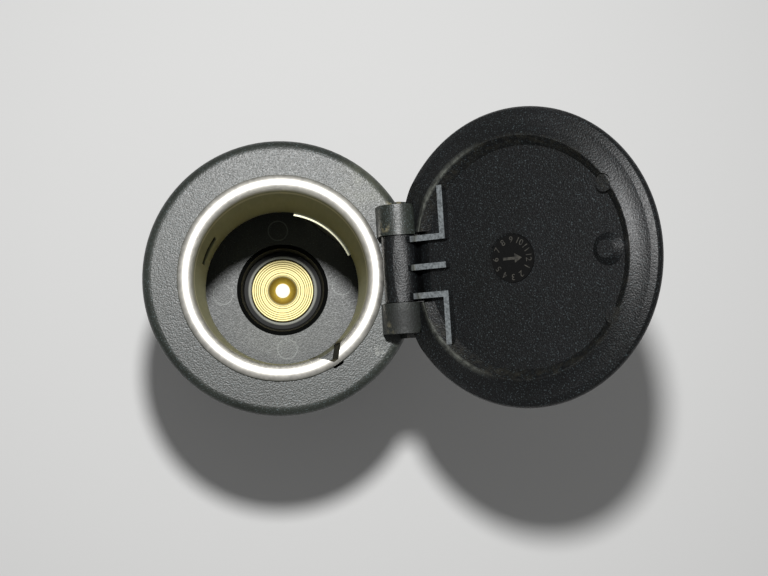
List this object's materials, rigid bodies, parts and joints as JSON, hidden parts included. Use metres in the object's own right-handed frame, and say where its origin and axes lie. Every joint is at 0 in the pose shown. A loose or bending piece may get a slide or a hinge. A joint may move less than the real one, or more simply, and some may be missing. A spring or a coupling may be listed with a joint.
{
  "type": "car 12v power socket",
  "caption": "Panel-mounted 12 volt power outlet with a metal contact sleeve, a centre contact and a hinged round lid that shuts over the mouth.",
  "frame": {"origin": "on the socket axis, in the plane of the flange's underside, where the panel's face sits", "axes": "+Z along the socket axis and out of its mouth, +X towards the hinge and the open lid, +Y along the hinge pin"},
  "size_m": [0.0593, 0.035, 0.0772],
  "materials": {
    "housing_plastic": "fine spark-eroded grain",
    "lid_plastic": "fine spark-eroded grain",
    "insulator": "smooth moulded",
    "nickel_plate": "bright nickel plate",
    "turned_brass": "turned rings",
    "tinned_brass": "tin plate",
    "pin_steel": "drawn wire"
  },
  "bodies": {
    "housing": {"housing": "housing_plastic", "contact_sleeve": "nickel_plate", "centre_contact": "turned_brass", "insulator_cup": "insulator", "positive_terminal": "tinned_brass", "ground_terminal": "tinned_brass", "hinge_pin": "pin_steel"},
    "lid": {"lid": "lid_plastic"}
  },
  "joints": [
    {"name": "lid_hinge", "type": "hinge", "parent": "housing", "child": "lid", "pos_m": [0.0146, 0, 0.0053], "axis": [0, -1, 0], "range_deg": [0, 143]}
  ]
}
